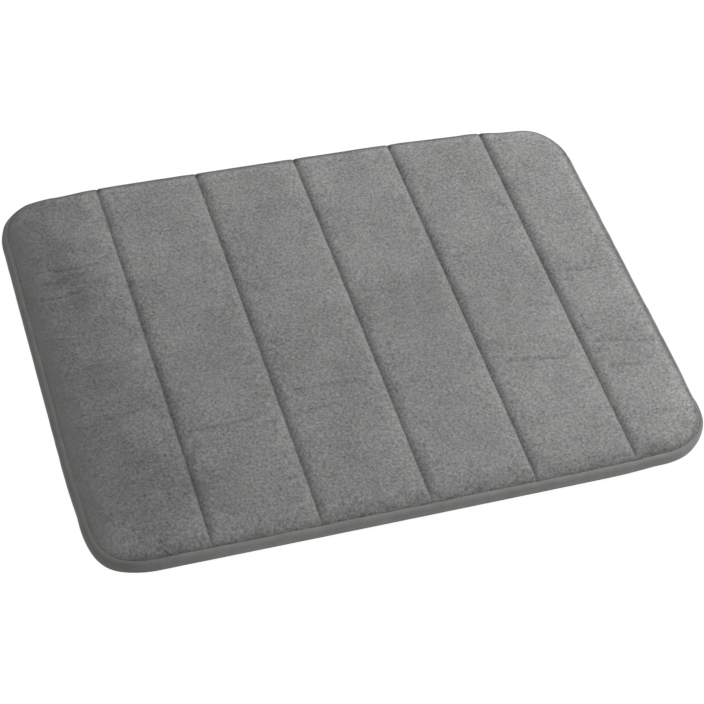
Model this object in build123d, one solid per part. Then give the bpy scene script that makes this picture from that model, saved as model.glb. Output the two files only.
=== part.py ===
from build123d import *
import os
from math import cos, radians, tan

# A quilted bath mat: fleece cover, memory-foam core, backing cloth and edge binding, sewn through at
# five quilting rows that part it into six pads. +X runs along the mat, across the quilting rows, +Z is
# up, and the origin is the centre of the face that lies on the floor. All sizes are in millimetres.

# Driving dimensions
MAT_LENGTH = 600.0  # along X
MAT_DEPTH = 450.0  # along Y
CORNER_RADIUS = 60.0
PAD_HEIGHT = 16.5  # floor to the top of a pad
PAD_WIDTHS = (108.0, 100.5, 103.5, 102.0, 100.5, 85.5)  # from the -X end, quilting row to quilting row

# Quilting rows: the mat folds about the quilting thread
FOLD_HEIGHT = 3.0  # floor to the thread
FLANK_ANGLE = 25.0  # above the thread each pad's side leans this far back, so that it folds up by twice that
FOLD_GAP = 0.15  # from the thread's centre plane to each pad's side
THREAD_RADIUS = 0.5
THREAD_CLEARANCE = 0.3
ROW_SHOULDER_RADIUS = 9.0

# Layers
BACKING_THICKNESS = 1.2
COVER_THICKNESS = 2.0
EDGE_SHOULDER_RADIUS = 10.0
LAYER_GAP = 0.1

# Edge binding and the stitches on it
BINDING_WIDTH = 6.0
BINDING_HEIGHT = 12.5
BINDING_TOP_RADIUS = 5.0
BINDING_FOOT_RADIUS = 4.0
STITCH_RADIUS = 0.4
STITCH_INSET = 5.5

# Worked out from the sizes above
PANELS = range(1, len(PAD_WIDTHS) + 1)
EDGES_X = [sum(PAD_WIDTHS[:i]) - MAT_LENGTH / 2 for i in range(len(PAD_WIDTHS) + 1)]
ROWS_X = EDGES_X[1:-1]
COVER_INSET = BINDING_WIDTH + LAYER_GAP
FOAM_INSET = COVER_INSET + COVER_THICKNESS + LAYER_GAP
BEYOND = 50.0  # how far a cutting shape runs past the mat


def side_offset(z, gap=FOLD_GAP):
    """How far a pad's side stands from its quilting row at height z."""
    lean = radians(FLANK_ANGLE)
    return gap / cos(lean) + max(z - FOLD_HEIGHT, 0) * tan(lean)


def slab(inset, low, high):
    """The mat's rounded outline, drawn in by inset, between two heights."""
    outline = RectangleRounded(
        MAT_LENGTH - 2 * inset,
        MAT_DEPTH - 2 * inset,
        CORNER_RADIUS - inset,
    )
    return Pos(0, 0, low) * extrude(outline, high - low)


def along_y(points):
    """A closed outline in the XZ plane, run through the whole depth of the mat."""
    depth = MAT_DEPTH + 2 * BEYOND
    outline = make_face(Polyline(*[(x, 0, z) for x, z in points], close=True))
    return extrude(outline, depth / 2, dir=(0, 1, 0), both=True)


def panel_strip(panel):
    """The space one panel may fill: between its two quilting rows, leaning back above each thread."""
    low, high = -BEYOND, BEYOND
    left, right = EDGES_X[panel - 1], EDGES_X[panel]
    if panel == PANELS[0]:
        left_side = [(left - BEYOND, low), (left - BEYOND, high)]
    else:
        left_side = [(left + side_offset(z), z) for z in (low, FOLD_HEIGHT, high)]
    if panel == PANELS[-1]:
        right_side = [(right + BEYOND, high), (right + BEYOND, low)]
    else:
        right_side = [(right - side_offset(z), z) for z in (high, FOLD_HEIGHT, low)]
    return along_y(left_side + right_side)


def pad_block(panel, inset, top, skin, side_gap):
    """A pad's body above the backing, with round shoulders at the quilting rows and all round the mat,
    each smaller by the skin that lies over it."""
    foot = BACKING_THICKNESS
    left, right = EDGES_X[panel - 1], EDGES_X[panel]
    if panel == PANELS[0]:
        left_side = [(left - BEYOND, foot), (left - BEYOND, top)]
    else:
        left_side = [(left + side_offset(z, side_gap), z) for z in (foot, FOLD_HEIGHT, top)]
    if panel == PANELS[-1]:
        right_side = [(right + BEYOND, top), (right + BEYOND, foot)]
    else:
        right_side = [(right - side_offset(z, side_gap), z) for z in (top, FOLD_HEIGHT, foot)]
    block = along_y(left_side + right_side)
    at_rows = [
        edge
        for edge in block.edges().filter_by(Axis.Y)
        if abs(edge.center().Z - top) < 0.01 and abs(edge.center().X) < MAT_LENGTH / 2
    ]
    block = fillet(at_rows, ROW_SHOULDER_RADIUS - skin)
    whole = slab(inset, foot, top)
    rim = whole.edges().group_by(Axis.Z)[-1]
    return block & fillet(rim, EDGE_SHOULDER_RADIUS - skin)


def thread_rod(row_x, radius, length):
    """A rod along a quilting row, on the line that the mat folds about."""
    return Pos(row_x, 0, FOLD_HEIGHT) * Rot(90, 0, 0) * Cylinder(radius, length)


def cover(panel):
    """The fleece over one pad, open underneath, with a groove for each thread that runs beside it."""
    outside = pad_block(panel, COVER_INSET, PAD_HEIGHT, 0, FOLD_GAP)
    inside = pad_block(
        panel,
        COVER_INSET + COVER_THICKNESS,
        PAD_HEIGHT - COVER_THICKNESS,
        COVER_THICKNESS,
        FOLD_GAP + COVER_THICKNESS,
    )
    shell = outside - inside
    for row_x in ROWS_X:
        if row_x in (EDGES_X[panel - 1], EDGES_X[panel]):
            shell -= thread_rod(row_x, THREAD_RADIUS + THREAD_CLEARANCE, MAT_DEPTH)
    return shell


def foam_pad(panel):
    """The foam inside one pad."""
    skin = COVER_THICKNESS + LAYER_GAP
    return pad_block(
        panel,
        FOAM_INSET,
        PAD_HEIGHT - skin,
        skin,
        FOLD_GAP + skin,
    )


def backing(panel):
    """The backing cloth and its grip dots under one pad, as one flat sheet."""
    return slab(COVER_INSET, 0, BACKING_THICKNESS) & panel_strip(panel)


def binding_ring():
    """The binding all round the mat, rounded outside and flat against the layers it closes."""
    ring = slab(0, 0, BINDING_HEIGHT)
    ring = fillet(ring.edges().group_by(Axis.Z)[-1], BINDING_TOP_RADIUS)
    ring = fillet(ring.edges().group_by(Axis.Z)[0], BINDING_FOOT_RADIUS)
    return ring - slab(BINDING_WIDTH, -BEYOND, BEYOND)


def stitch_ring():
    """The thread that holds the binding, laid along the binding's inner top edge."""
    height = BINDING_HEIGHT + STITCH_RADIUS + LAYER_GAP
    outline = RectangleRounded(
        MAT_LENGTH - 2 * STITCH_INSET,
        MAT_DEPTH - 2 * STITCH_INSET,
        CORNER_RADIUS - STITCH_INSET,
    )
    path = Pos(0, 0, height) * outline.wire()
    start = path @ 0
    section = Plane(origin=start, z_dir=path % 0) * Circle(STITCH_RADIUS)
    return sweep(section, path)


def quilt_thread(row_x):
    """One row of quilting thread."""
    return thread_rod(row_x, THREAD_RADIUS, MAT_DEPTH - 2 * (COVER_INSET + COVER_THICKNESS))


def write(shape, name):
    """Writes one node, as the group of its solids."""
    solids = shape.solids()
    export_step(solids[0] if len(solids) == 1 else Compound(children=solids), f"parts/{name}.step")


os.makedirs("parts", exist_ok=True)
whole_binding = binding_ring()
whole_stitch = stitch_ring()
for panel in PANELS:
    write(cover(panel), f"cover_{panel}")
    write(foam_pad(panel), f"foam_pad_{panel}")
    write(backing(panel), f"backing_{panel}")
    write(whole_binding & panel_strip(panel), f"edge_binding_{panel}")
    write(whole_stitch & panel_strip(panel), f"binding_stitch_{panel}")
for number, row_x in enumerate(ROWS_X, start=1):
    write(quilt_thread(row_x), f"quilt_thread_{number}")
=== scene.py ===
# A quilted bath mat on a pale floor. Each layer of the mat is made whole, as one sheet or one band round
# the edge, and is then parted at the quilting rows: a panel's share rides on its CAD body, and the
# narrow share over a row is a piece of its own that stays where it lies.
import math

import bpy
import numpy as np
from mathutils import Matrix, Vector


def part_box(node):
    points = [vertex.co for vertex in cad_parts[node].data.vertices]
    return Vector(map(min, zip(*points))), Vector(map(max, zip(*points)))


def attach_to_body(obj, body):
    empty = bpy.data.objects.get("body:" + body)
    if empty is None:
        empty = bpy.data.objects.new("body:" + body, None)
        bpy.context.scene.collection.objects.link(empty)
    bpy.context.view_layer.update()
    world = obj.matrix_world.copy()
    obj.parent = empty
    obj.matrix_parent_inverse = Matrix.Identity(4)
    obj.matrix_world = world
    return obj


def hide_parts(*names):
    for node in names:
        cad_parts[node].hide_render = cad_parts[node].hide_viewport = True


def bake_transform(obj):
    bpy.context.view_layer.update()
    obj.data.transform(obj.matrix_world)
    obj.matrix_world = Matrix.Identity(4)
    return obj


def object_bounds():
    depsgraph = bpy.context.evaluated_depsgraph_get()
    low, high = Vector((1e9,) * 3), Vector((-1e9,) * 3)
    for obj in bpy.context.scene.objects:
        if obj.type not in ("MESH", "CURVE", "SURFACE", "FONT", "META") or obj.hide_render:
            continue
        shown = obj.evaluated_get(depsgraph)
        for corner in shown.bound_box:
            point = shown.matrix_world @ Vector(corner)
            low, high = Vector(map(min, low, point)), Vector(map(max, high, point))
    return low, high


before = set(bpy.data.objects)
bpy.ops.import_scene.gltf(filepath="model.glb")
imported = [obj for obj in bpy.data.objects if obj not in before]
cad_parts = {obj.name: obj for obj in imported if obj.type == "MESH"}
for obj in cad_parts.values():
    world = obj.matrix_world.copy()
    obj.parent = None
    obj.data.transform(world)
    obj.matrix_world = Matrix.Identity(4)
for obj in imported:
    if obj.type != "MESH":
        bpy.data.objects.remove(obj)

cad_low, cad_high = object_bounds()

MM = 0.001
TINY, TINY_AREA = 1e-9, 1e-12  # stand in for zero where something is divided by it

# ---------------------------------------------------------------- sizes

# Read from the frame
PANELS = range(1, sum(name.startswith("cover_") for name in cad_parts) + 1)
THREADS = [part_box(f"quilt_thread_{k}") for k in PANELS[:-1]]
ROWS = [(low.x + high.x) / 2 for low, high in THREADS]
HALF_LENGTH, HALF_DEPTH = cad_high.x, cad_high.y
PAD_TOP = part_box("cover_3")[1].z
BINDING_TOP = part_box("edge_binding_3")[1].z

# Outline
CORNER_RADIUS = 60 * MM
CORE_X, CORE_Y = HALF_LENGTH - CORNER_RADIUS, HALF_DEPTH - CORNER_RADIUS

# Cover
SEAM_INSET = 5.5 * MM  # from the mat's edge to the seam between cover and binding
SEAM_DEPTH = 4.3 * MM  # how far the cover's edge is tucked below the binding's top
SEAM_SHALLOWER = 2.2 * MM  # how much less deep it is tucked along the left end
GROOVE_Z = 9.0 * MM  # the bottom of a quilting groove, where the pile closes over the stitches
GROOVE_RISE, GROOVE_RISEN = 22 * MM, 0.8  # length of its rise towards the seam, and the share of it risen
GROOVE_BLUNT = 0.4 * MM  # rounds the groove's bottom
ROW_SHOULDER = 9.5 * MM  # from a groove's middle to the flat of the pad
EDGE_SHOULDER_NEAR, EDGE_SHOULDER_FAR = 20 * MM, 12 * MM
SHOULDER_BLEND = 5  # the higher, the sharper a row's shoulder meets the edge's
CROWN, CROWN_REACH = 0.7 * MM, 28 * MM  # the pads swell towards their middles
COVER_THICKNESS = 1.6 * MM

# Cloth simulation of the cover
CLOTH_SPARE = 0.005  # how much larger than its frame the cloth is cut
CLOTH_UNEVEN, CLOTH_UNEVEN_WIDTH = 0.3 * MM, 9 * MM  # the height and width of what it starts uneven by
CLOTH_LIMIT = 1.1 * MM  # the furthest that it may settle from its frame
CLOTH_MASS, CLOTH_STRETCH, CLOTH_BEND, CLOTH_PRESSURE, CLOTH_FRAMES = 0.01, 15.0, 1.0, 0.8, 14
HELD_BY_ROW, HELD_BY_EDGE = 7 * MM, 4 * MM  # how far from a seam it is held
HOLD_LEVELS = 10  # and in how many levels the hold fades

# On the far and right sides the cover leans out over the binding, which is rolled lower and narrower
HIDDEN_MIDDLE, HIDDEN_FAR, HIDDEN_RIGHT = 0.5, 0.5, 0.45  # midway, and what facing far or right adds
COVER_LEAN, LEAN_REACH = 4.0 * MM, 16 * MM
BINDING_LOWER, BINDING_NARROWER = 2.8 * MM, 0.6

# Binding
ROW_DIP, ROW_DIP_WIDTH = 0.7 * MM, 7 * MM  # it is drawn down where a quilting row ends
LIP_RADIUS, FOOT_RADIUS = 3.7 * MM, 3.5 * MM
LIP_TURN = 150  # degrees that the lip turns, from level outward to down into the seam
LIP_POINTS, SIDE_POINTS, FOOT_POINTS = 12, 4, 6
SIDE_BULGE = 0.25 * MM
HEM_START, HEM_INSET, HEM_LIFT = 6 * MM, 9.5 * MM, 0.35 * MM
BINDING_THICKNESS = 1.0 * MM
BINDING_SWELL, BINDING_WAVE = (0.35 * MM, 11 * MM), (0.3 * MM, 15 * MM)  # unevenness: height and width

# Foam
FOAM_ROW_GAP, FOAM_EDGE_GAP = 6.1 * MM, 6.1 * MM
FOAM_BELOW_COVER, FOAM_FOOT, FOAM_THINNEST = 2.1 * MM, 1.9 * MM, 1 * MM

# Underside
BACKING_INSET, BACKING_Z, BACKING_THICKNESS = 7.2 * MM, 1.2 * MM, 0.6 * MM
DIMPLE, DIMPLE_WIDTH = 0.5 * MM, 2.2 * MM  # the quilting draws the backing up along each row
DOT_PITCH, DOT_RADIUS, DOT_SIDES = 8 * MM, 1.5 * MM, 8
DOT_FROM_HEM = 3 * MM
DOT_PROFILE = [(1, 1.3 * MM), (0.93, 0.55 * MM), (0.6, 0.12 * MM)]  # share of its radius, and height
DOT_LOWEST = 0.03 * MM

# Thread
STITCH_PITCH, STITCH_LENGTH, THREAD_RADIUS = 3.2 * MM, 2.4 * MM, 0.24 * MM
STITCH_PROFILE = [(-1, 0.45), (-0.8, 1), (-0.3, 1), (0.3, 1), (0.8, 1), (1, 0.45)]  # along it, and thickness
STITCH_DIP, STITCH_SIDES = 1.2, 6  # how far its ends dip, in thread radii
QUILTING_ENDS = 4 * MM  # from the seam to a quilting row's last stitch
PROUD_OF_COVER, PROUD_OF_BACKING = 0.2 * MM, 0.1 * MM
EDGE_STITCH_NEAR, EDGE_STITCH_FAR = (7.5 * MM, 9.9 * MM), (1.9 * MM, 9.6 * MM)  # inset and height
HEM_STITCH_INSET, HEM_STITCH_Z = HEM_INSET - 1.6 * MM, HEM_LIFT - 0.05 * MM

# Parting into pieces
FOLD_HALF = 12 * MM  # half the width of the share of a layer over a row, which is a piece of its own
ZONES = [("panel", i) for i in PANELS] + [("fold", k) for k in PANELS[:-1]]

# Meshes: the spacing of each, and the distances at which a sheet has its points by a row and the edge
COVER_SPACING, BACKING_SPACING, BINDING_SPACING = 5.5 * MM, 7 * MM, 3.2 * MM
BESIDE_A_ROW = np.array([0, 0.7, 1.6, 2.8, 4.3, 6.2, 8.1, 10, 13, 17]) * MM
BESIDE_THE_EDGE = np.array([0, 0.7, 1.6, 2.8, 4.3, 6.2, 8.6, 11.5, 15, 20, 26, 34, 44]) * MM

# Creases across the cover, as (start, end, depth) in mm; the depth also sets each furrow's painted shade
CREASES = [
    ((120, -80), (208, -95), 1.04),
    ((150, -88), (196, -91), 0.66),
    ((221, -77), (292, -93), 1.14),
    ((219, -111), (268, -116), 1.04),
    ((224, 16), (270, 9), 0.95),
    ((258, 38), (294, 35), 0.85),
    ((268, 166), (290, 155), 1.14),
    ((243, -172), (268, -176), 0.76),
    ((172, -18), (208, -29), 0.85),
    ((-88, -71), (-6, -75), 0.85),
    ((-87, -97), (-30, -98), 0.66),
    ((-188, -97), (-96, -94), 0.85),
    ((-272, -66), (-200, -62), 0.85),
    ((-286, 121), (-200, 118), 1.14),
    ((-284, 104), (-222, 108), 0.95),
    ((-286, 84), (-226, 90), 1.14),
    ((-280, 26), (-226, 22), 0.66),
    ((-284, -8), (-232, -4), 0.66),
    ((10, -85), (56, -91), 0.57),
    ((54, 114), (86, 105), 0.66),
    ((128, 196), (190, 201), 0.57),
]
CREASE_WIDTH, CREASE_BEND = 2.2, 1.2  # in mm
CREASE_FADE = 0.3  # the share of its length over which each end fades out
RIDGE_HEIGHT, RIDGE_SPREAD = 0.7, 1.6

# Patches where the cover's colour is darker: the place and reach in mm, and how much, below 0 where lighter
PATCHES = [
    ((-212, -40), 42, 0.8),
    ((-200, -150), 45, 0.8),
    ((-168, -180), 24, 0.5),
    ((88, 0), 46, 0.75),
    ((92, -70), 32, 0.5),
    ((85, -175), 24, 0.45),
    ((-112, 40), 48, 0.5),
    ((-150, -30), 40, 0.4),
    ((0, -60), 45, 0.35),
    ((205, 10), 40, 0.4),
    ((282, -172), 38, -0.95),
    ((133, -130), 30, -0.6),
    ((24, 180), 36, -0.6),
    # a painted sheen on the pile at the near left corner
    ((-272, -202), 26, -1.6),
    ((255, 195), 30, -0.6),
    ((-178, 208), 22, -0.5),
    ((231, -211), 9, 0.9),
    ((-266, 119), 7, -0.9),
    ((-248, 107), 12, 0.8),
    ((-262, 87), 7, -0.9),
    ((-240, 76), 14, 0.6),
]

# Painted shade along the cover's edges and in its creases: how much darker, and over what reach
SEAM_SHADE = (1.2, 5.5 * MM)  # painted shade along the near side
RIM_SHADE = (2.6, 3 * MM)  # painted shade where the cover turns over the far and right edges
CREST_HIGHLIGHT, CREST_INSET = (0.5, 4 * MM), 7 * MM  # and a painted highlight beside that rim, this far in
FURROW_SHADE_MOST, RIDGE_HIGHLIGHT_MOST = 1.2, -0.5  # the most painted shade in a crease, and the most painted highlight on the ridges beside it

# Soft dents in the pile, as (height, width), and how far from a seam they start
FINE_DENTS, BROAD_DENTS, DENT_MARGIN = (0.12 * MM, 7 * MM), (0.18 * MM, 16 * MM), 3 * MM

# How the mat lies: how far each quilting row strays by its far end, and where the outline is pulled
# out or in, as (place, pull, reach) in mm
ROW_STRAY = np.array([-3.5, -1.8, -1.4, -0.5, 0.3]) * MM
PULLS = [
    ((-281, -209), (-3.4, -3.4), 24),
    ((-300, -163), (1.8, 0), 28),
    ((190, 225), (0, -2.2), 42),
    ((246, 225), (0, -7.0), 26),
    ((276, 214), (-0.6, 0.5), 20),
    ((-236, 224), (0, -3.6), 28),
    ((-293, 196), (-1.2, 0.6), 20),
    ((240, -224), (0, 2.2), 28),
    ((294, -192), (1.0, -0.6), 18),
    ((300, -158), (-1.0, 0), 24),
]
BOW = 0.7 * MM  # how far the long sides swell outward at their middle


# ---------------------------------------------------------------- helpers

def smooth(t):
    """0 below 0, 1 above 1 and a smooth step between."""
    t = np.clip(t, 0, 1)
    return t * t * (3 - 2 * t)


def noise(u, v, size, seed, cells=256):
    """Smooth noise from -1 to 1 over a plane, with features of one size. It repeats after so many cells."""
    table = np.random.default_rng(seed).uniform(-1, 1, (cells, cells))
    u, v = np.asarray(u) / size, np.asarray(v) / size
    i, j = np.floor(u).astype(int), np.floor(v).astype(int)
    s, t = smooth(u - i), smooth(v - j)
    i, j, next_i, next_j = i % cells, j % cells, (i + 1) % cells, (j + 1) % cells
    near = table[i, j] * (1 - s) + table[next_i, j] * s
    far = table[i, next_j] * (1 - s) + table[next_i, next_j] * s
    return near * (1 - t) + far * t


def row_gap(x):
    """Distance to the nearest quilting row."""
    return np.min([np.abs(x - row) for row in ROWS], axis=0)


def edge_gap(x, y, inset=0.0):
    """Distance inward from the mat's outline drawn in by inset."""
    across, along = np.abs(x) - CORE_X, np.abs(y) - CORE_Y
    outside = np.hypot(np.maximum(across, 0), np.maximum(along, 0))
    return CORNER_RADIUS - inset - outside - np.minimum(np.maximum(across, along), 0)


def outward(x, y):
    """The direction out of the mat at each place beyond the core, and nothing inside it."""
    across = np.maximum(np.abs(x) - CORE_X, 0) * np.sign(x)
    along = np.maximum(np.abs(y) - CORE_Y, 0) * np.sign(y)
    length = np.maximum(np.hypot(across, along), TINY)
    return across / length, along / length


def hidden(nx, ny):
    """How far the cover hides the binding on the side facing (nx, ny): 0 near, 1 far."""
    return np.clip(HIDDEN_MIDDLE + HIDDEN_FAR * ny + HIDDEN_RIGHT * nx, 0, 1)


def row_dip(x):
    """How far the binding is drawn down at x, on the long sides."""
    return ROW_DIP * fading(row_gap(x), ROW_DIP_WIDTH)


def side_dip(x, nx):
    """The same at one place on the edge, which faces nx along X: nothing on the ends and corners."""
    return float(row_dip(x)) if abs(nx) < 0.01 else 0.0


def zone_at(x):
    """The number in ZONES of the share of a layer at x."""
    for k, row in enumerate(ROWS, start=1):
        if abs(x - row) < FOLD_HALF:
            return ZONES.index(("fold", k))
        if x < row:
            return ZONES.index(("panel", k))
    return ZONES.index(("panel", PANELS[-1]))


def nearness(x, y, place, reach):
    """1 at a place, falling smoothly to 0 beyond its reach; both are in mm."""
    px, py = place
    return np.exp(-(((x - px * MM) ** 2 + (y - py * MM) ** 2) / (reach * MM) ** 2))


def fading(distance, reach):
    """1 where distance is 0, falling smoothly to 0 beyond the reach."""
    return np.exp(-((distance / reach) ** 2))


def lie(points):
    """Points of the mat as cut, moved to where they lie."""
    x, y = points[:, 0], points[:, 1]
    moved = points.copy()
    moved[:, 1] += BOW * y / HALF_DEPTH * (1 - (x / HALF_LENGTH) ** 2)
    stray = np.interp(x, [-HALF_LENGTH, *ROWS, HALF_LENGTH], [0, *ROW_STRAY, 0])
    moved[:, 0] += stray * ((y + HALF_DEPTH) / (2 * HALF_DEPTH)) ** 2
    for place, pull, reach in PULLS:
        moved[:, :2] += nearness(x, y, place, reach)[:, None] * np.multiply(pull, MM)
    return moved


def attach(obj, zone):
    """A panel's piece rides on its body, and a fold's piece stays where it lies, on no body."""
    kind, number = ZONES[zone]
    if kind == "panel":
        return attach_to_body(obj, f"panel_{number}")
    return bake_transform(obj)


def zone_name(name, zone):
    """A piece's name: its layer's, and the number of its panel or fold."""
    kind, number = ZONES[zone]
    return f"{name}_{number}" if kind == "panel" else f"{name}_fold_{number}"


def new_object(name, points, faces, material=None, loop_normals=None, cloth=None):
    """A mesh object. cloth is a vector that each point keeps for its material."""
    mesh = bpy.data.meshes.new(name)
    mesh.from_pydata(np.asarray(points).tolist(), [], faces)
    mesh.shade_smooth()
    if cloth is not None:
        layer = mesh.attributes.new("cloth", "FLOAT_VECTOR", "POINT")
        layer.data.foreach_set("vector", np.asarray(cloth, np.float32).ravel())
    if loop_normals is not None:
        mesh.normals_split_custom_set(loop_normals)
    if material:
        mesh.materials.append(material)
    obj = bpy.data.objects.new(name, mesh)
    bpy.context.scene.collection.objects.link(obj)
    return obj


def vertex_normals(points, faces):
    """Each point's normal, from the faces round it by their area."""
    normals = np.zeros((len(points), 3))
    for size in {len(face) for face in faces}:
        group = np.array([face for face in faces if len(face) == size])
        at = points[group]
        across = np.cross(at[:, 2] - at[:, 0], at[:, -1] - at[:, 1])
        for corner in range(size):
            np.add.at(normals, group[:, corner], across)
    return normals / np.maximum(np.linalg.norm(normals, axis=1), TINY_AREA)[:, None]


def share(name, zone, points, faces, normals, flat_faces, material, cloth):
    """One zone's share of a layer. faces are shaded with the whole layer's normals, so that no line
    shows where two shares meet, and flat_faces with their own."""
    used = sorted({p for face in faces for p in face})
    new = dict(zip(used, range(len(used))))
    loop_normals = [tuple(normals[p]) for face in faces for p in face]
    for face in flat_faces:
        at = points[list(face[:4])]
        across = np.cross(at[2] - at[0], at[-1] - at[1])
        loop_normals += [tuple(across / max(np.linalg.norm(across), TINY_AREA))] * len(face)
    local = [[new[p] for p in face] for face in [*faces, *flat_faces]]
    obj = new_object(
        zone_name(name, zone), lie(points[used]), local, material, loop_normals, cloth[used]
    )
    return attach(obj, zone)


# ---------------------------------------------------------------- sheets

def steps(start, end, spacing):
    """Evenly spaced numbers from start to end, both included."""
    return np.linspace(start, end, max(1, math.ceil(abs(end - start) / spacing - TINY)) + 1)


def columns(spacing):
    """The x of each column between the corners: fine beside the quilting rows, even elsewhere."""
    xs = [-CORE_X]
    for row in ROWS:
        xs += list(steps(xs[-1], row - BESIDE_A_ROW[-1], spacing))
        xs += list(row - BESIDE_A_ROW[::-1]) + list(row + BESIDE_A_ROW)
    xs += list(steps(xs[-1], CORE_X, spacing))
    return np.unique(np.round(xs, 7))


def rounded_sheet(inset, spacing):
    """Plan points and faces of the mat's outline drawn in by inset: a grid, a strip along each side
    with its points closer towards the edge, and a fan at each corner."""
    reach = CORNER_RADIUS - inset
    out = np.concatenate([[0], reach - BESIDE_THE_EDGE[BESIDE_THE_EDGE < reach][::-1]])
    xs, ys = columns(spacing), steps(-CORE_Y, CORE_Y, spacing)
    turn = steps(0, math.pi / 2, spacing / reach)
    index, points, faces = {}, [], []

    def point(place):
        key = (round(place[0], 6), round(place[1], 6))
        if key not in index:
            index[key] = len(points)
            points.append(place)
        return index[key]

    def patch(us, vs, place):
        ids = [[point(place(u, v)) for v in vs] for u in us]
        for i in range(len(us) - 1):
            for j in range(len(vs) - 1):
                quad = [ids[i][j], ids[i + 1][j], ids[i + 1][j + 1], ids[i][j + 1]]
                face = [p for n, p in enumerate(quad) if p != quad[n - 1]]
                at = [points[p] for p in face]
                turning = sum(at[n - 1][0] * q[1] - q[0] * at[n - 1][1] for n, q in enumerate(at))
                faces.append(face if turning > 0 else face[::-1])

    patch(xs, ys, lambda x, y: (x, y))
    for side in (-1, 1):
        patch(xs, out, lambda x, r: (x, side * (CORE_Y + r)))
        patch(ys, out, lambda y, r: (side * (CORE_X + r), y))
        for end in (-1, 1):
            patch(turn, out, lambda a, r: (
                side * (CORE_X + r * math.cos(a)),
                end * (CORE_Y + r * math.sin(a)),
            ))
    return np.array(points), faces


def zones_of(plan, faces):
    """Each face's number in ZONES."""
    return [zone_at(plan[list(face), 0].mean()) for face in faces]


def layer(name, top, bottom, faces, zones, material, dress, painted_darkening=None):
    """A closed piece for each zone, between a sheet's upper and lower surface. dress(piece, zone)
    finishes each."""
    count = len(top)
    points = np.concatenate([top, bottom])
    cloth = np.zeros_like(points)
    # the top keeps the cover's painted shade for its material, as the X of the 'cloth' attribute
    cloth[:count, 0] = 0 if painted_darkening is None else painted_darkening
    normals = np.concatenate([vertex_normals(top, faces), -vertex_normals(bottom, faces)])
    for zone in sorted(set(zones)):
        own = [face for face, z in zip(faces, zones) if z == zone]
        edges = {(face[n - 1], p) for face in own for n, p in enumerate(face)}
        rim = [(b, a, a + count, b + count) for a, b in edges if (b, a) not in edges]
        under = [[p + count for p in reversed(face)] for face in own]
        dress(share(name, zone, points, own + under, normals, sorted(rim), material, cloth), zone)


# ---------------------------------------------------------------- cover

def pad_height(x, y):
    """The cover's height over the foam: flat pads with round shoulders at the rows and the edge."""
    nx, ny = outward(x, y)
    row, edge, far = row_gap(x), edge_gap(x, y, SEAM_INSET), hidden(nx, ny)
    depth = SEAM_DEPTH - SEAM_SHALLOWER * np.maximum(-nx, 0)
    seam = BINDING_TOP - depth * (1 - far) - BINDING_LOWER * far - row_dip(x) * (np.abs(y) > CORE_Y)
    groove = GROOVE_Z + (seam - GROOVE_Z) * (1 - smooth(edge / GROOVE_RISE)) * GROOVE_RISEN
    top = PAD_TOP + CROWN * (1 - np.exp(-np.minimum(row, edge) / CROWN_REACH))
    row_drop = (top - groove) * (1 - shoulder(np.hypot(row, GROOVE_BLUNT) / ROW_SHOULDER))
    reach = EDGE_SHOULDER_NEAR + (EDGE_SHOULDER_FAR - EDGE_SHOULDER_NEAR) * far
    slope = np.sin(np.clip(edge / reach, 0, 1) * math.pi / 2)
    edge_drop = (top - seam) * (1 - slope + (slope - shoulder(edge / reach)) * far)
    return top - (row_drop**SHOULDER_BLEND + edge_drop**SHOULDER_BLEND) ** (1 / SHOULDER_BLEND)


def shoulder(t):
    """A round shoulder: from 0, rising straight up, to 1, level."""
    t = np.clip(t, 0, 1)
    return np.sqrt(np.clip(1 - (1 - t) ** 2, 0, 1))


def settle(points, faces):
    """The cover as cloth: cut with a little to spare, held at its seams and swelled by the foam."""
    start = points.copy()
    start[:, 2] += CLOTH_UNEVEN * noise(points[:, 0], points[:, 1], CLOTH_UNEVEN_WIDTH, seed=3)
    obj = new_object("cover_cloth", start, faces)
    held = obj.vertex_groups.new(name="held")
    row, edge = row_gap(points[:, 0]), edge_gap(points[:, 0], points[:, 1], SEAM_INSET)
    weight = np.maximum(1 - smooth(row / HELD_BY_ROW), 1 - smooth(edge / HELD_BY_EDGE))
    levels = np.round(weight * HOLD_LEVELS).astype(int)
    for level in range(1, HOLD_LEVELS + 1):
        held.add(np.flatnonzero(levels == level).tolist(), level / HOLD_LEVELS, "REPLACE")
    cloth = obj.modifiers.new("cloth", "CLOTH").settings
    cloth.vertex_group_mass = "held"
    cloth.quality = 6
    cloth.mass = CLOTH_MASS
    cloth.air_damping = 1.0
    cloth.shrink_min = -CLOTH_SPARE
    cloth.tension_stiffness = cloth.compression_stiffness = CLOTH_STRETCH
    cloth.shear_stiffness = CLOTH_STRETCH / 3
    cloth.bending_stiffness = CLOTH_BEND
    cloth.use_pressure = True
    cloth.uniform_pressure_force = CLOTH_PRESSURE
    cloth.effector_weights.gravity = 0
    scene = bpy.context.scene
    for number in range(1, CLOTH_FRAMES + 1):
        scene.frame_set(number)
    settled = obj.evaluated_get(bpy.context.evaluated_depsgraph_get()).to_mesh()
    after = np.empty(len(points) * 3, np.float32)
    settled.vertices.foreach_get("co", after)
    scene.frame_set(1)
    bpy.data.objects.remove(obj)
    move = evened(after.reshape(-1, 3).astype(float) - points, faces)
    length = np.linalg.norm(move, axis=1)
    limit = CLOTH_LIMIT * np.tanh(length / CLOTH_LIMIT) / np.maximum(length, TINY)
    return points + move * limit[:, None]


def evened(values, faces, rounds=2):
    """Values at a mesh's points, each drawn half way to the mean of its neighbours."""
    pairs = np.array([(face[n - 1], p) for face in faces for n, p in enumerate(face)])
    pairs = np.concatenate([pairs, pairs[:, ::-1]])
    count = np.bincount(pairs[:, 0], minlength=len(values))[:, None]
    for _ in range(rounds):
        total = np.zeros_like(values)
        np.add.at(total, pairs[:, 0], values[pairs[:, 1]])
        values = (values + total / count) / 2
    return values


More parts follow.
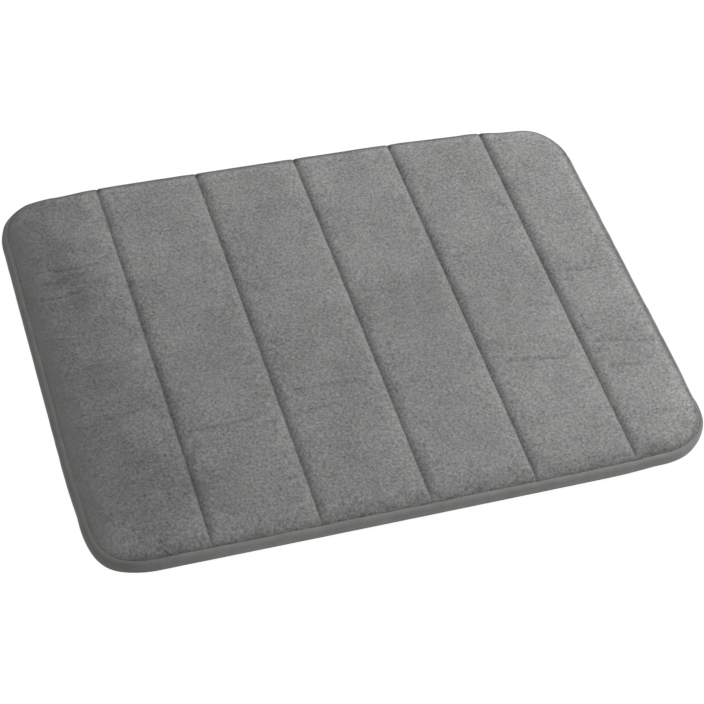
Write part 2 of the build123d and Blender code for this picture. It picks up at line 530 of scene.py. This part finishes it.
def subdivide(points, faces, zones):
    """One level of subdivision, with each face's zone carried over."""
    obj = new_object("sheet", points, faces)
    number = obj.data.attributes.new("zone", "INT", "FACE")
    number.data.foreach_set("value", zones)
    obj.modifiers.new("finer", "SUBSURF").levels = 1
    mesh = obj.evaluated_get(bpy.context.evaluated_depsgraph_get()).to_mesh()
    fine = np.array([v.co for v in mesh.vertices], float)
    fine_faces = [list(polygon.vertices) for polygon in mesh.polygons]
    fine_zones = [item.value for item in mesh.attributes["zone"].data]
    bpy.data.objects.remove(obj)
    return fine, fine_faces, fine_zones


def creases(x, y):
    """The height in mm that the creases add: each is a furrow with a low ridge on both sides."""
    x, y, height = x / MM, y / MM, 0
    for (x0, y0), (x1, y1), depth in CREASES:
        along = (x - x0) / (x1 - x0)
        bend = CREASE_BEND * np.sin(np.clip(along, 0, 1) * math.pi * 2 + x0 / CREASE_WIDTH)
        across = (y - y0 - (y1 - y0) * along - bend) / CREASE_WIDTH
        ends = smooth(along / CREASE_FADE) * smooth((1 - along) / CREASE_FADE)
        profile = (1 - RIDGE_HEIGHT * across**2) * np.exp(-(across**2) / RIDGE_SPREAD)
        height = height - depth * ends * profile
    return height


def pile(points, faces):
    """Soft dents and creases in the pile, moved along the cover's normals."""
    x, y = points[:, 0], points[:, 1]
    lumps = FINE_DENTS[0] * noise(x, y, FINE_DENTS[1], seed=11)
    lumps += BROAD_DENTS[0] * noise(x + y / 2, y - x / 2, BROAD_DENTS[1], seed=12)
    lumps += creases(x, y) * MM
    free = smooth(row_gap(x) / DENT_MARGIN) * smooth(edge_gap(x, y, SEAM_INSET) / DENT_MARGIN)
    return points + vertex_normals(points, faces) * (lumps * free)[:, None]


def painted_shade_and_highlight(x, y):
    """How much darker the cover's colour is painted: painted shade at the near seam, the far and right rims
    and in creases, patches darker or lighter, and below 0 painted highlights beside the rims and on ridges."""
    edge, (nx, ny) = edge_gap(x, y, SEAM_INSET), outward(x, y)
    # painted shade along the near seam
    seam = SEAM_SHADE[0] * np.maximum(-ny, 0) * fading(edge, SEAM_SHADE[1])
    # painted shade on the rims of the far and right edges
    rim = RIM_SHADE[0] * hidden(nx, ny) ** 2 * fading(edge, RIM_SHADE[1])
    # painted highlight beside those rims
    crest = CREST_HIGHLIGHT[0] * hidden(nx, ny) * fading(edge - CREST_INSET, CREST_HIGHLIGHT[1])
    # painted shade in the creases' furrows and painted highlight on their ridges
    furrows = np.clip(-creases(x, y), RIDGE_HIGHLIGHT_MOST, FURROW_SHADE_MOST)
    # darker and lighter patches, one of them a painted sheen
    patches = sum(painted_darkening * nearness(x, y, place, reach) for place, reach, painted_darkening in PATCHES)
    return seam + rim - crest + furrows + patches


def make_cover(material, foam_material):
    """The cover: settled as cloth, laid over the foam pads that it shapes, and then given its pile."""
    plan, faces = rounded_sheet(SEAM_INSET, COVER_SPACING)
    zones = zones_of(plan, faces)
    nx, ny = outward(*plan.T)
    lean = COVER_LEAN * hidden(nx, ny) * (1 - smooth(edge_gap(*plan.T, SEAM_INSET) / LEAN_REACH))
    points = np.column_stack([plan[:, 0] + nx * lean, plan[:, 1] + ny * lean, pad_height(*plan.T)])
    points = settle(points, faces)
    make_foam(points, plan, faces, foam_material)
    points, faces, zones = subdivide(points, faces, zones)
    # painted shade at each point, below 0 where a highlight is painted
    painted_darkening = painted_shade_and_highlight(points[:, 0], points[:, 1])
    points = pile(points, faces)

    def dress(piece, zone):
        kind, number = ZONES[zone]
        if kind == "panel":
            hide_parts(f"cover_{number}")

    under = points - np.array([0, 0, COVER_THICKNESS])
    layer("fleece_cover", points, under, faces, zones, material, dress, painted_darkening)


# ---------------------------------------------------------------- foam

def make_foam(cover, plan, faces, material):
    """A foam pad in each panel, under the cover and clear of the rows and the edge."""
    clear = (row_gap(plan[:, 0]) > FOAM_ROW_GAP) & (edge_gap(*plan.T, SEAM_INSET) > FOAM_EDGE_GAP)
    kept = [face for face in faces if clear[list(face)].all()]
    middles = [plan[list(face), 0].mean() for face in kept]
    owner = [ZONES.index(("panel", min(PANELS, key=lambda i: panel_distance(i, x)))) for x in middles]
    top = cover - np.array([0, 0, FOAM_BELOW_COVER])
    top[:, 2] = np.maximum(top[:, 2], FOAM_FOOT + FOAM_THINNEST)
    bottom = np.column_stack([cover[:, :2], np.full(len(cover), FOAM_FOOT)])

    def dress(piece, zone):
        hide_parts(f"foam_pad_{ZONES[zone][1]}")

    layer("memory_foam", top, bottom, kept, owner, material, dress)


def panel_distance(panel, x):
    """How far x lies outside a panel's span between its two rows."""
    low = ROWS[panel - 2] if panel > 1 else -HALF_LENGTH
    high = ROWS[panel - 1] if panel < PANELS[-1] else HALF_LENGTH
    return max(low - x, x - high, 0)


# ---------------------------------------------------------------- underside

def backing_height(x):
    """The height of the backing's lower face."""
    return BACKING_Z + DIMPLE * fading(row_gap(x), DIMPLE_WIDTH)


def make_backing(material):
    """The woven cloth that closes the mat underneath."""
    plan, faces = rounded_sheet(BACKING_INSET, BACKING_SPACING)
    bottom = np.column_stack([plan, backing_height(plan[:, 0])])
    top = bottom + np.array([0, 0, BACKING_THICKNESS])

    def dress(piece, zone):
        kind, number = ZONES[zone]
        if kind == "panel":
            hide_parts(f"backing_{number}")

    layer("backing_cloth", top, bottom, faces, zones_of(plan, faces), material, dress)


def make_dots(material):
    """Raised rubber dots in staggered rows, which grip the floor."""
    around = [(math.cos(a), math.sin(a)) for a in np.arange(DOT_SIDES) * 2 * math.pi / DOT_SIDES]
    rings = [(share_of * DOT_RADIUS, z) for share_of, z in DOT_PROFILE]
    shape = [(r * c, r * s, z) for r, z in rings for c, s in around] + [(0, 0, DOT_LOWEST)]
    faces = [list(range(DOT_SIDES)), *tube_faces(len(rings), DOT_SIDES)]
    last = (len(rings) - 1) * DOT_SIDES
    faces += [[last + (n + 1) % DOT_SIDES, last + n, len(shape) - 1] for n in range(DOT_SIDES)]
    places = []
    for j, y in enumerate(np.arange(-HALF_DEPTH, HALF_DEPTH, DOT_PITCH * math.sqrt(3) / 2)):
        for x in np.arange(-HALF_LENGTH, HALF_LENGTH, DOT_PITCH) + DOT_PITCH / 2 * (j % 2):
            if edge_gap(x, y) > HEM_INSET + DOT_FROM_HEM and row_gap(x) > 2 * DOT_RADIUS:
                places.append((x, y, 0))
    copies("grip_dots", places, [(np.array(shape), faces)] * len(places), material, dress_dots)


def dress_dots(piece, zone):
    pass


def tube_faces(rings, sides):
    """The faces between rings of points that follow one another."""
    faces = []
    for ring in range(rings - 1):
        for n in range(sides):
            a, b = ring * sides + n, ring * sides + (n + 1) % sides
            faces.append([b, a, a + sides, b + sides])
    return faces


def copies(name, places, shapes, material, dress):
    """One piece for each zone, of the small shapes whose place is in it."""
    for zone in range(len(ZONES)):
        points, faces, count = [], [], 0
        for place, (shape, shape_faces) in zip(places, shapes):
            if zone_at(place[0]) == zone:
                faces += [[count + p for p in face] for face in shape_faces]
                points.append(shape + np.array(place))
                count += len(shape)
        if points:
            obj = new_object(zone_name(name, zone), lie(np.concatenate(points)), faces, material)
            dress(attach(obj, zone), zone)


# ---------------------------------------------------------------- thread

def stitch(along, up):
    """A short stitch that lies along one direction and dips at both ends."""
    along, up = Vector(along).normalized(), Vector(up).normalized()
    across = up.cross(along)
    points = []
    for t, thickness in STITCH_PROFILE:
        centre = along * (t * STITCH_LENGTH / 2) - up * (THREAD_RADIUS * STITCH_DIP * t * t)
        radius = THREAD_RADIUS * thickness
        for n in range(STITCH_SIDES):
            a = 2 * math.pi * n / STITCH_SIDES
            points.append(centre + across * (radius * math.cos(a)) + up * (radius * math.sin(a)))
    ends = [list(range(STITCH_SIDES)), [len(points) - 1 - n for n in range(STITCH_SIDES)]]
    faces = ends + tube_faces(len(STITCH_PROFILE), STITCH_SIDES)
    return np.array(points), faces


def make_quilting(material):
    """Lock stitches along each quilting row, on the cover and on the backing."""
    reach = HALF_DEPTH - SEAM_INSET - QUILTING_ENDS
    above, below = stitch((0, 1, 0), (0, 0, 1)), stitch((0, 1, 0), (0, 0, -1))
    for k, row in enumerate(ROWS, start=1):
        places, shapes = [], []
        for y in steps(-reach, reach, STITCH_PITCH):
            cover_z = float(pad_height(np.array([row]), np.array([y]))[0])
            backing_z = float(backing_height(row))
            places += [(row, y, cover_z + PROUD_OF_COVER), (row, y, backing_z - PROUD_OF_BACKING)]
            shapes += [above, below]

        def dress(piece, zone):
            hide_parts(f"quilt_thread_{k}")

        copies("quilting_stitches", places, shapes, material, dress)


def make_edge_stitches(material):
    """Stitches through the binding: in the seam beside the cover, and along its hem underneath."""
    places, shapes = [], []
    for x, y, nx, ny, _ in outline(STITCH_PITCH, fine_rows=False):
        along = (-ny, nx, 0)
        out_of_sight = float(hidden(nx, ny))
        inset = EDGE_STITCH_NEAR[0] + (EDGE_STITCH_FAR[0] - EDGE_STITCH_NEAR[0]) * out_of_sight
        height = EDGE_STITCH_NEAR[1] + (EDGE_STITCH_FAR[1] - EDGE_STITCH_NEAR[1]) * out_of_sight
        places.append((x - nx * inset, y - ny * inset, height - side_dip(x, nx)))
        shapes.append(stitch(along, (0, 0, 1)))
        places.append((x - nx * HEM_STITCH_INSET, y - ny * HEM_STITCH_INSET, HEM_STITCH_Z))
        shapes.append(stitch(along, (0, 0, -1)))

    def dress(piece, zone):
        kind, number = ZONES[zone]
        if kind == "panel":
            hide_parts(f"binding_stitch_{number}")

    copies("edge_stitches", places, shapes, material, dress)


# ---------------------------------------------------------------- binding

def outline(spacing, fine_rows=True):
    """Places round the mat's edge, anticlockwise: x, y, the outward direction and the way so far."""
    xs = columns(spacing) if fine_rows else steps(-CORE_X, CORE_X, spacing)
    ys = steps(-CORE_Y, CORE_Y, spacing)
    quarter = steps(0, math.pi / 2, spacing / CORNER_RADIUS)
    places = [(x, -HALF_DEPTH, 0, -1) for x in xs]
    corners = [(CORE_X, -CORE_Y), (CORE_X, CORE_Y), (-CORE_X, CORE_Y), (-CORE_X, -CORE_Y)]
    sides = [
        [(HALF_LENGTH, y, 1, 0) for y in ys],
        [(x, HALF_DEPTH, 0, 1) for x in xs[::-1]],
        [(-HALF_LENGTH, y, -1, 0) for y in ys[::-1]],
        [],
    ]
    for number, ((cx, cy), side) in enumerate(zip(corners, sides)):
        for a in quarter[1:-1] + (number - 1) * math.pi / 2:
            nx, ny = math.cos(a), math.sin(a)
            places.append((cx + CORNER_RADIUS * nx, cy + CORNER_RADIUS * ny, nx, ny))
        places += side
    way, found = 0.0, []
    for n, place in enumerate(places):
        way += math.dist(place[:2], places[n - 1][:2]) if n else 0
        found.append((*place, way))
    return found


def arc(centre, radius, start, end, count):
    """Points on an arc; 0 degrees points out of the mat and 90 up."""
    angles = np.radians(np.linspace(start, end, count))
    return [(centre[0] - radius * math.cos(a), centre[1] + radius * math.sin(a)) for a in angles]


def binding_section():
    """The band's closed section as (inset, height): out from the seam, round and under to the hem,
    and back inside at the band's thickness."""
    lip = (LIP_RADIUS, BINDING_TOP - LIP_RADIUS)
    foot = (FOOT_RADIUS, FOOT_RADIUS)
    sides = [(-SIDE_BULGE, z) for z in np.linspace(lip[1], foot[1], SIDE_POINTS)[1:-1]]
    hem = [(t, HEM_LIFT * (t - FOOT_RADIUS) / (HEM_INSET - FOOT_RADIUS)) for t in (HEM_START, HEM_INSET)]
    outer_foot = arc(foot, FOOT_RADIUS, 0, -90, FOOT_POINTS)
    outer = arc(lip, LIP_RADIUS, LIP_TURN, 0, LIP_POINTS) + sides + outer_foot + hem
    inner_sides = [(d + BINDING_THICKNESS, z) for d, z in sides]
    inner_foot = arc(foot, FOOT_RADIUS - BINDING_THICKNESS, 0, -90, FOOT_POINTS)
    inner_hem = [(d, z + BINDING_THICKNESS) for d, z in hem]
    inner_lip = arc(lip, LIP_RADIUS - BINDING_THICKNESS, LIP_TURN, 0, LIP_POINTS)
    inner = inner_lip + inner_sides + inner_foot + inner_hem
    return np.array(outer + inner[::-1])


def make_binding(material):
    """The band round the edge. Its material sees it laid flat, by the way round the mat and its girth."""
    section = binding_section()
    places = outline(BINDING_SPACING)
    girth = np.concatenate([[0], np.cumsum(np.linalg.norm(np.diff(section, axis=0), axis=1))])
    high = np.clip(section[:, 1] / BINDING_TOP, 0, 1)
    points, laid_flat = [], []
    for x, y, nx, ny, way in places:
        swell = BINDING_SWELL[0] * noise(way, girth / 2, BINDING_SWELL[1], seed=21) * high
        lift = BINDING_WAVE[0] * noise(way, girth * 0, BINDING_WAVE[1], seed=22) * high**2
        out_of_sight = float(hidden(nx, ny))
        inset = section[:, 0] * (1 - BINDING_NARROWER * out_of_sight * high**2) - swell
        lower = side_dip(x, nx) + BINDING_LOWER * out_of_sight
        z = section[:, 1] * (1 - lower / BINDING_TOP) + lift
        points.append(np.column_stack([x - nx * inset, y - ny * inset, z]))
        laid_flat.append(np.column_stack([np.full(len(section), way), girth, girth * 0]))
    points, laid_flat = np.concatenate(points), np.concatenate(laid_flat)
    size, count = len(section), len(places)
    faces, zones = [], []
    for n, place in enumerate(places):
        after = (n + 1) % count
        zone = zone_at((place[0] + places[after][0]) / 2)
        for s in range(size):
            t = (s + 1) % size
            faces.append([n * size + s, n * size + t, after * size + t, after * size + s])
            zones.append(zone)
    normals = vertex_normals(points, faces)
    for zone in range(len(ZONES)):
        own = [face for face, z in zip(faces, zones) if z == zone]
        caps = []
        for n in range(count):
            before_zone, after_zone = zones[(n - 1) % count * size], zones[n * size]
            ring = [n * size + s for s in range(size)]
            if before_zone != after_zone and after_zone == zone:
                caps.append(ring[::-1])
            if before_zone != after_zone and before_zone == zone:
                caps.append(ring)
        piece = share("bound_edge", zone, points, own, normals, caps, material, laid_flat)
        if ZONES[zone][0] == "panel":
            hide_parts(f"edge_binding_{ZONES[zone][1]}")


# ---------------------------------------------------------------- materials

class Nodes:
    """Builds one material's node tree."""

    def __init__(self, name):
        self.material = bpy.data.materials.new(name)
        self.material.use_nodes = True
        self.tree = self.material.node_tree
        self.shader = self.tree.nodes["Principled BSDF"]

    def add(self, kind, **inputs):
        """A new node. A name in lower case sets one of its options, and any other name an input."""
        node = self.tree.nodes.new(kind)
        for name, value in inputs.items():
            if name[0].islower():
                setattr(node, name, value)
            else:
                self.put(node.inputs[name.replace("_", " ")], value)
        return node

    def put(self, socket, value):
        """Links another node's output to a socket, or sets the socket's own value."""
        if isinstance(value, bpy.types.NodeSocket):
            self.tree.links.new(value, socket)
        else:
            socket.default_value = value

    def math(self, operation, a, b=0.0):
        node = self.tree.nodes.new("ShaderNodeMath")
        node.operation = operation
        self.put(node.inputs[0], a)
        self.put(node.inputs[1], b)
        return node.outputs[0]

    def noise(self, where, scale, detail=2.0, roughness=0.5, distortion=0.0):
        node = self.add(
            "ShaderNodeTexNoise", Vector=where, Scale=scale, Detail=detail,
            Roughness=roughness, Distortion=distortion,
        )
        return node.outputs[0]

    def waves(self, where, direction, scale, distortion=0.0):
        node = self.add(
            "ShaderNodeTexWave", Vector=where, Scale=scale, Distortion=distortion, bands_direction=direction
        )
        return node.outputs[1]

    def tones(self, amount, dark, light):
        """A grey between dark and light."""
        node = self.add("ShaderNodeMix", data_type="RGBA")
        self.put(node.inputs[0], amount)
        self.put(node.inputs[6], (*dark, 1))
        self.put(node.inputs[7], (*light, 1))
        return node.outputs[2]

    def blend(self, amount, first, second):
        """Shows the first shader, or the second by the amount."""
        mix = self.tree.nodes.new("ShaderNodeMixShader")
        for socket, value in zip(mix.inputs, (amount, first, second)):
            self.put(socket, value)
        self.tree.links.new(mix.outputs[0], self.tree.nodes["Material Output"].inputs["Surface"])

    def bump(self, height, distance, strength=1.0, after=None):
        node = self.add("ShaderNodeBump", Height=height, Distance=distance, Strength=strength)
        if after is not None:
            self.put(node.inputs["Normal"], after)
        return node.outputs[0]

    def finish(self, **inputs):
        for name, value in inputs.items():
            self.put(self.shader.inputs[name.replace("_", " ")], value)
        return self.material


def position(nodes):
    """Where a point is in its piece, in metres."""
    return nodes.add("ShaderNodeTexCoord").outputs["Object"]


PAINTED_SHADE_TONE = 0.22  # how much darker the painted shade makes the cover

# The spans of X at the left end over which a painted shade darkens the mat and its grain fades, and the
# factors there
LEFT_SHADE_SPAN, LEFT_SHADE_TONE = (-0.275, -0.185), (0.68, 1.0)
FADING, FADING_CONTRAST = (-0.296, -0.262), (0.25, 1.0)
LEFT_SHADE_WANDER = 0.16  # how far, in metres, the painted shade's edge wanders along X from patch to patch
FLEECE_TONE, TAPE_TONE = (0.372, 0.371, 0.366), (0.325, 0.319, 0.31)  # the lightest of each
BLACK = (0.0, 0.0, 0.0)


def fleece():
    """Short velvet pile: brushed patches, fine grain, a sheen along the shoulders, and painted shade and
    highlights.
    """
    n = Nodes("fleece")
    at = position(n)
    fibres = n.noise(at, 560, 3, 0.7)
    grain = n.noise(at, 330, 2, 0.6)
    tufts = n.noise(at, 130, 2, 0.55, 0.5)
    brushed = n.noise(at, 48, 2, 0.5, 0.8)
    broad = n.noise(at, 14, 2)
    layers = [(fibres, 0.75), (grain, 0.66), (tufts, 0.14), (brushed, 0.16), (broad, 0.2)]
    amount = -0.5 * sum(weight for _, weight in layers)
    for pattern, weight in layers:
        amount = n.math("ADD", n.math("MULTIPLY", pattern, weight), amount)
    amount = n.math("ADD", n.math("MULTIPLY", amount, along_x(n, at, FADING, FADING_CONTRAST)), 0.5)
    # painted shade over the left end
    amount = n.math("MULTIPLY", amount, painted_left_shade(n, at))
    # painted shade and highlights, kept by the cover's points in the 'cloth' attribute
    cloth = n.add("ShaderNodeAttribute", attribute_name="cloth").outputs["Vector"]
    painted_darkening = n.add("ShaderNodeSeparateXYZ", Vector=cloth).outputs["X"]
    amount = n.math("MULTIPLY", amount, n.math("SUBTRACT", 1.0, n.math("MULTIPLY", painted_darkening, PAINTED_SHADE_TONE)))
    color = n.tones(amount, BLACK, FLEECE_TONE)
    relief = n.bump(grain, 0.45 * MM)
    relief = n.bump(tufts, 0.5 * MM, 0.7, relief)
    return n.finish(
        Base_Color=color, Roughness=0.95, Specular_IOR_Level=0.15, Sheen_Weight=0.25,
        Sheen_Roughness=0.4, Normal=relief,
    )


def painted_left_shade(n, at):
    """A factor that paints shade over the mat's left end, darker towards the left."""
    wander = n.math("SUBTRACT", n.noise(at, 22, 3, 0.6, 0.4), 0.5)
    patches = n.math("MULTIPLY", wander, LEFT_SHADE_WANDER)
    return along_x(n, at, LEFT_SHADE_SPAN, LEFT_SHADE_TONE, patches)


def along_x(n, at, where, values, shift=0.0):
    """Runs smoothly from the first value to the second between two places along X."""
    x = n.math("ADD", n.add("ShaderNodeSeparateXYZ", Vector=at).outputs["X"], shift)
    ramp = n.add("ShaderNodeMapRange", interpolation_type="SMOOTHSTEP", Value=x)
    for name, value in zip(("From Min", "From Max", "To Min", "To Max"), (*where, *values)):
        ramp.inputs[name].default_value = value
    return ramp.outputs["Result"]


def knitted_tape():
    """Fine knitted binding tape, a little warmer and smoother than the cover; painted shade on its left end.
    """
    n = Nodes("knitted_tape")
    laid_flat = n.add("ShaderNodeAttribute", attribute_name="cloth").outputs["Vector"]
    ribs, rows = n.waves(laid_flat, "X", 160, 1.2), n.waves(laid_flat, "Y", 160, 1.2)
    wear = n.noise(laid_flat, 60, 3, 0.6)
    knit = n.math("MULTIPLY", n.math("ADD", ribs, rows), 0.5)
    amount = n.math("ADD", n.math("MULTIPLY", knit, 0.1), n.math("MULTIPLY", wear, 0.22))
    amount = n.math("ADD", amount, 0.34)
    # the same painted shade over the left end
    amount = n.math("MULTIPLY", amount, painted_left_shade(n, position(n)))
    color = n.tones(amount, BLACK, TAPE_TONE)
    return n.finish(
        Base_Color=color, Roughness=0.85, Specular_IOR_Level=0.2, Sheen_Weight=0.15,
        Sheen_Roughness=0.5, Normal=n.bump(knit, 0.12 * MM),
    )


def backing_cloth():
    """Plain woven cloth under the mat."""
    n = Nodes("backing_cloth")
    at = position(n)
    warp, weft = n.waves(at, "X", 260, 0.6), n.waves(at, "Y", 260, 0.6)
    weave = n.math("MULTIPLY", n.math("ADD", warp, weft), 0.5)
    amount = n.math("ADD", n.math("MULTIPLY", weave, 0.5), n.math("MULTIPLY", n.noise(at, 40, 3), 0.5))
    color = n.tones(amount, (0.13, 0.13, 0.13), (0.27, 0.27, 0.27))
    return n.finish(Base_Color=color, Roughness=0.9, Specular_IOR_Level=0.2, Normal=n.bump(weave, 0.15 * MM))


def rubber():
    """The grip dots' soft dark rubber."""
    n = Nodes("grip_rubber")
    at = position(n)
    amount = n.noise(at, 120, 3)
    color = n.tones(amount, (0.09, 0.09, 0.09), (0.17, 0.17, 0.17))
    rough = n.math("ADD", n.math("MULTIPLY", n.noise(at, 300, 2), 0.2), 0.42)
    return n.finish(Base_Color=color, Roughness=rough, Normal=n.bump(n.noise(at, 900, 2), 0.05 * MM))


def foam():
    """Open-cell foam."""
    n = Nodes("memory_foam")
    at = position(n)
    cells = n.add("ShaderNodeTexVoronoi", Vector=at, Scale=900).outputs["Distance"]
    amount = n.math("ADD", n.math("MULTIPLY", cells, 0.6), n.math("MULTIPLY", n.noise(at, 30, 2), 0.4))
    color = n.tones(amount, (0.6, 0.57, 0.48), (0.83, 0.81, 0.74))
    return n.finish(Base_Color=color, Roughness=0.95, Specular_IOR_Level=0.2, Normal=n.bump(cells, 0.3 * MM))


def thread():
    """Twisted polyester thread."""
    n = Nodes("sewing_thread")
    at = position(n)
    twist = n.waves(at, "DIAGONAL", 900)
    color = n.tones(twist, (0.06, 0.06, 0.06), (0.13, 0.13, 0.13))
    return n.finish(Base_Color=color, Roughness=0.6, Sheen_Weight=0.2, Normal=n.bump(twist, 0.04 * MM))


# ---------------------------------------------------------------- stage

VIEW_AZIMUTH, VIEW_ELEVATION, VIEW_ROLL = map(math.radians, (24.51, 50.20, 9.10))
VIEW_DISTANCE, VIEW_TARGET, VIEW_LENS = 1.8608, Vector((-2.75, -26.97, 0)) * MM, 99.25


def make_camera():
    """Looks from the near left, high up and tilted a little clockwise."""
    azimuth, elevation = VIEW_AZIMUTH, VIEW_ELEVATION
    ahead = Vector((
        math.sin(azimuth) * math.cos(elevation),
        math.cos(azimuth) * math.cos(elevation),
        -math.sin(elevation),
    ))
    right = Vector((math.cos(azimuth), -math.sin(azimuth), 0))
    up = right.cross(ahead)
    across = right * math.cos(VIEW_ROLL) + up * math.sin(VIEW_ROLL)
    upward = up * math.cos(VIEW_ROLL) - right * math.sin(VIEW_ROLL)
    data = bpy.data.cameras.new("camera")
    data.lens, data.sensor_width, data.clip_start = VIEW_LENS, 36, 0.01
    camera = bpy.data.objects.new("camera", data)
    camera.matrix_world = Matrix.Translation(VIEW_TARGET - ahead * VIEW_DISTANCE) @ Matrix(
        (across, upward, -ahead)
    ).transposed().to_4x4()
    bpy.context.scene.collection.objects.link(camera)
    bpy.context.scene.camera = camera


def area_light(name, place, size, power):
    """A square light that faces the middle of the mat."""
    data = bpy.data.lights.new(name, "AREA")
    data.size, data.energy = size, power
    light = bpy.data.objects.new(name, data)
    light.location = place
    light.rotation_euler = (-Vector(place)).to_track_quat("-Z", "Y").to_euler()
    bpy.context.scene.collection.objects.link(light)


SKY = 0.8  # strength of the white surroundings; the camera itself sees them plain white
FLOOR_SIDE = 12.0
FLOOR_GLOW, FLOOR_WHITE = 0.9, 1.06  # how much of the floor the camera sees as a white glow, and how strong
KEY_PLACE, KEY_SIZE, KEY_POWER = (0.8, 0.16, 0.62), 0.6, 7.3


def make_stage():
    """A pale floor, white surroundings and one soft light from the right."""
    reach = FLOOR_SIDE / 2
    corners = [(x * reach, y * reach, 0) for x, y in ((-1, -1), (1, -1), (1, 1), (-1, 1))]
    n = Nodes("pale_floor")
    color = n.tones(n.noise(position(n), 3, 2), (0.88, 0.88, 0.88), (0.9, 0.9, 0.9))
    n.finish(Base_Color=color, Roughness=0.9)
    glow = n.add("ShaderNodeEmission", Strength=FLOOR_WHITE)
    seen = n.math("MULTIPLY", n.add("ShaderNodeLightPath").outputs["Is Camera Ray"], FLOOR_GLOW)
    n.blend(seen, n.shader.outputs[0], glow.outputs[0])
    new_object("floor", corners, [[0, 1, 2, 3]], n.material)
    world = bpy.data.worlds.new("studio")
    world.use_nodes = True
    tree = world.node_tree
    background = tree.nodes["Background"]
    background.inputs["Strength"].default_value = SKY
    seen = tree.nodes.new("ShaderNodeBackground")
    seen.inputs["Strength"].default_value = 1.0
    seen.inputs["Color"].default_value = background.inputs["Color"].default_value = (1, 1, 1, 1)
    mix = tree.nodes.new("ShaderNodeMixShader")
    tree.links.new(tree.nodes.new("ShaderNodeLightPath").outputs["Is Camera Ray"], mix.inputs[0])
    tree.links.new(background.outputs[0], mix.inputs[1])
    tree.links.new(seen.outputs[0], mix.inputs[2])
    tree.links.new(mix.outputs[0], tree.nodes["World Output"].inputs["Surface"])
    bpy.context.scene.world = world
    bpy.context.scene.view_settings.view_transform = "Standard"
    area_light("key", KEY_PLACE, KEY_SIZE, KEY_POWER)


make_camera()
make_stage()
make_cover(fleece(), foam())
make_backing(backing_cloth())
make_dots(rubber())
make_binding(knitted_tape())
THREAD = thread()
make_quilting(THREAD)
make_edge_stitches(THREAD)
